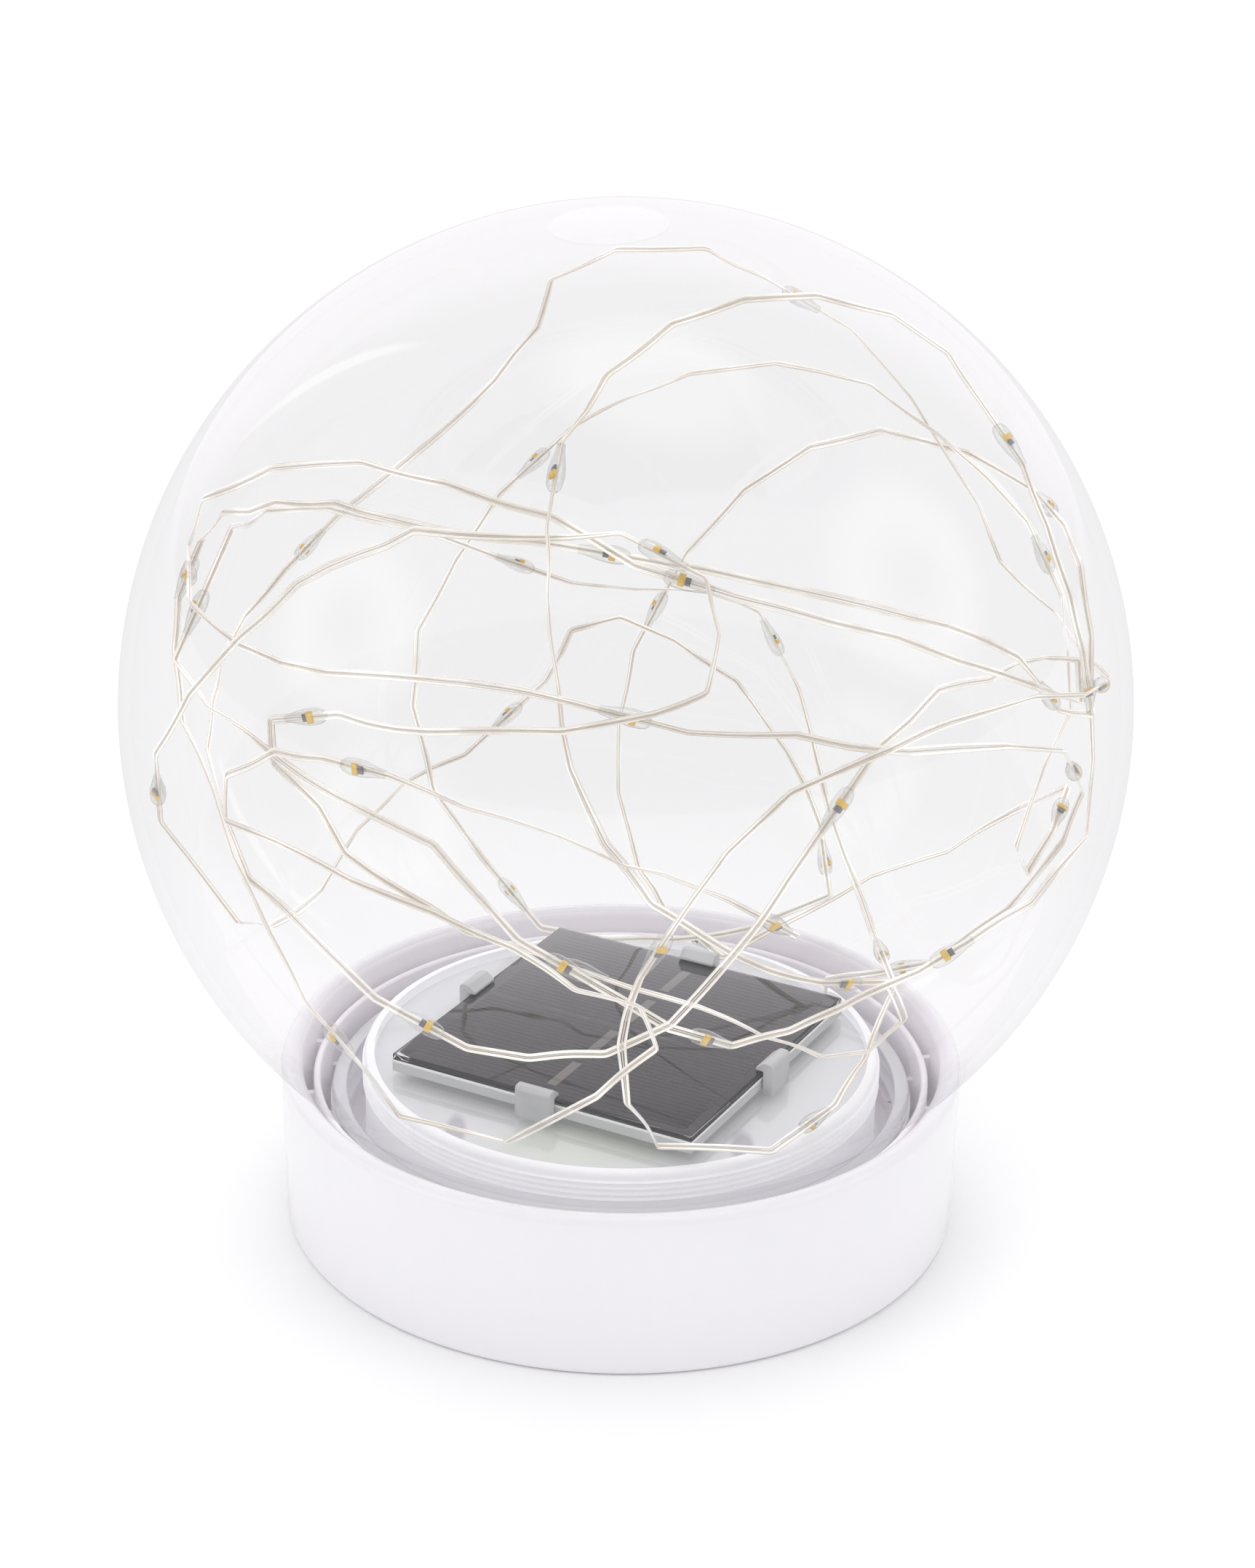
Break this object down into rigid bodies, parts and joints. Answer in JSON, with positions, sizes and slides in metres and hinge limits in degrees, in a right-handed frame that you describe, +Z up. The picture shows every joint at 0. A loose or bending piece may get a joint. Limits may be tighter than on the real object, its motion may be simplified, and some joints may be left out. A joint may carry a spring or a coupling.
{
  "type": "solar globe light",
  "caption": "Clear globe with a string of light drops and a square solar panel inside, on a round white base that the globe screws into, with a push button underneath.",
  "frame": {"origin": "centre of the base's foot ring, on the ground it stands on", "axes": "+Z up through the middle of the globe; -Y points to the viewer of the picture and +X to that viewer's right"},
  "size_m": [0.15, 0.15, 0.1588],
  "materials": {
    "white_plastic": "satin moulded plastic",
    "silicone": "soft translucent silicone",
    "steel": "zinc-plated",
    "frosted_plastic": "frosted, lets a little light through",
    "board_green": "printed board",
    "cell_dark": "dark silicon cell",
    "tinned_copper": "tinned ribbon, brownish",
    "clear_resin": "clear cast resin",
    "black_plastic": "moulded",
    "ferrite": "ferrite",
    "can_aluminium": "drawn can",
    "battery_wrap": "plain shrink sleeve",
    "clear_globe": "clear, polished",
    "clear_film": "clear film",
    "wire_sleeve": "thin enamelled twin wire",
    "clear_drop": "cast clear drop",
    "chip_yellow": "light chip with its yellow coat"
  },
  "bodies": {
    "base": {"base_shell": "white_plastic", "bottom_cover": "white_plastic", "cover_gasket": "silicone", "cover_screws": "steel", "panel_tray": "frosted_plastic", "solar_board": "board_green", "solar_cells": "cell_dark", "cell_tabs": "tinned_copper", "panel_resin": "clear_resin", "circuit_board": "board_green", "board_screws": "steel", "driver_chip": "black_plastic", "power_coil": "ferrite", "capacitor": "can_aluminium", "battery_holder": "black_plastic", "battery_cell": "battery_wrap", "battery_spring": "steel", "battery_plate": "steel", "switch_body": "black_plastic", "button_boot": "silicone", "wire_grommet": "silicone", "light_wire": "wire_sleeve", "light_drops": "clear_drop", "light_chips": "chip_yellow"},
    "seal": {"neck_seal": "silicone"},
    "globe": {"globe": "clear_globe", "top_label": "clear_film"},
    "button": {"switch_button": "white_plastic"}
  },
  "joints": [
    {"name": "globe_lift", "type": "slide", "parent": "base", "child": "seal", "axis": [0, 0, 1], "range_m": [0, 0.003]},
    {"name": "globe_turn", "type": "hinge", "parent": "seal", "child": "globe", "pos_m": [0, 0, 0.015], "axis": [0, 0, 1], "range_deg": [0, 360]},
    {"name": "button_press", "type": "slide", "parent": "base", "child": "button", "axis": [0, 0, 1], "range_m": [0, 0.0015], "stiffness_N_per_m": 900, "springref_m": -0.001}
  ],
  "couplings": [
    {"joint": "globe_lift", "follows": "globe_turn", "m_per_rad": 0.00047746}
  ]
}
